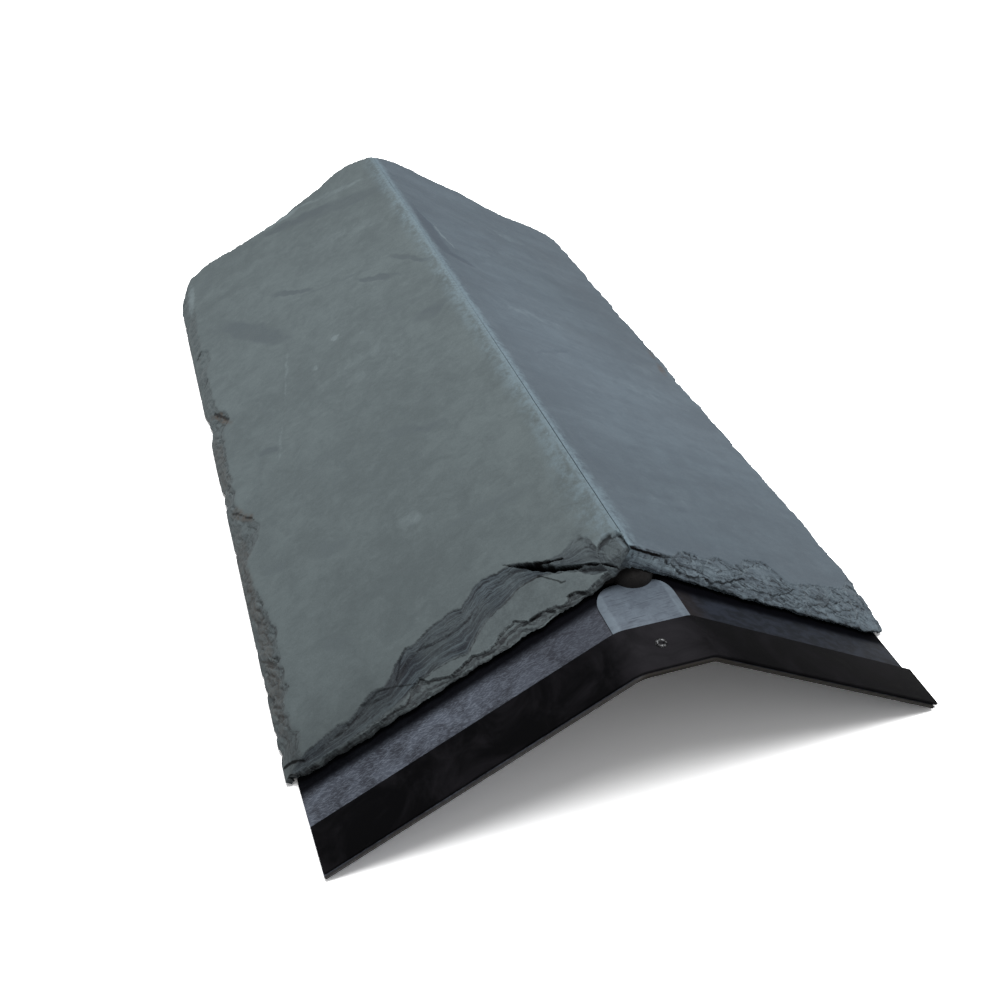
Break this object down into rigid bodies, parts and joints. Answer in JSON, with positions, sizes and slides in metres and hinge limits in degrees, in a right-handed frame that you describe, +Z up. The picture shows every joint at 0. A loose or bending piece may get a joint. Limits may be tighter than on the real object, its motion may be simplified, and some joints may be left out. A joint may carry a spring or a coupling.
{
  "type": "slate ridge end tile",
  "caption": "Ridge end tile: riven slate wings mitred over a folded metal tray, with a tapered front tongue and a rubber seal strip.",
  "frame": {"origin": "On the level that the slates' outer lower edges rest on, midway along the tile and across it", "axes": "+Z up, +Y along the ridge towards the back edge, with the tongue and the seal strip at -Y; +X to the right seen from the tongue"},
  "size_m": [0.3046, 0.518, 0.0975],
  "materials": {
    "left_slate": "riven, matte, greenish grey",
    "right_slate": "riven, matte, bluish grey",
    "ridge_tray": "dark grey coating, satin, finely scratched",
    "adhesive": "matte cured sealant",
    "joint_plate": "brushed along the ridge",
    "seal_strip": "matte black rubber",
    "rivet": "dull, hollow head"
  },
  "bodies": {
    "root": {"left_slate": "left_slate", "right_slate": "right_slate", "ridge_tray": "ridge_tray", "adhesive_bed": "adhesive", "joint_plate": "joint_plate", "seal_strip": "seal_strip", "rivet": "rivet"}
  },
  "joints": []
}
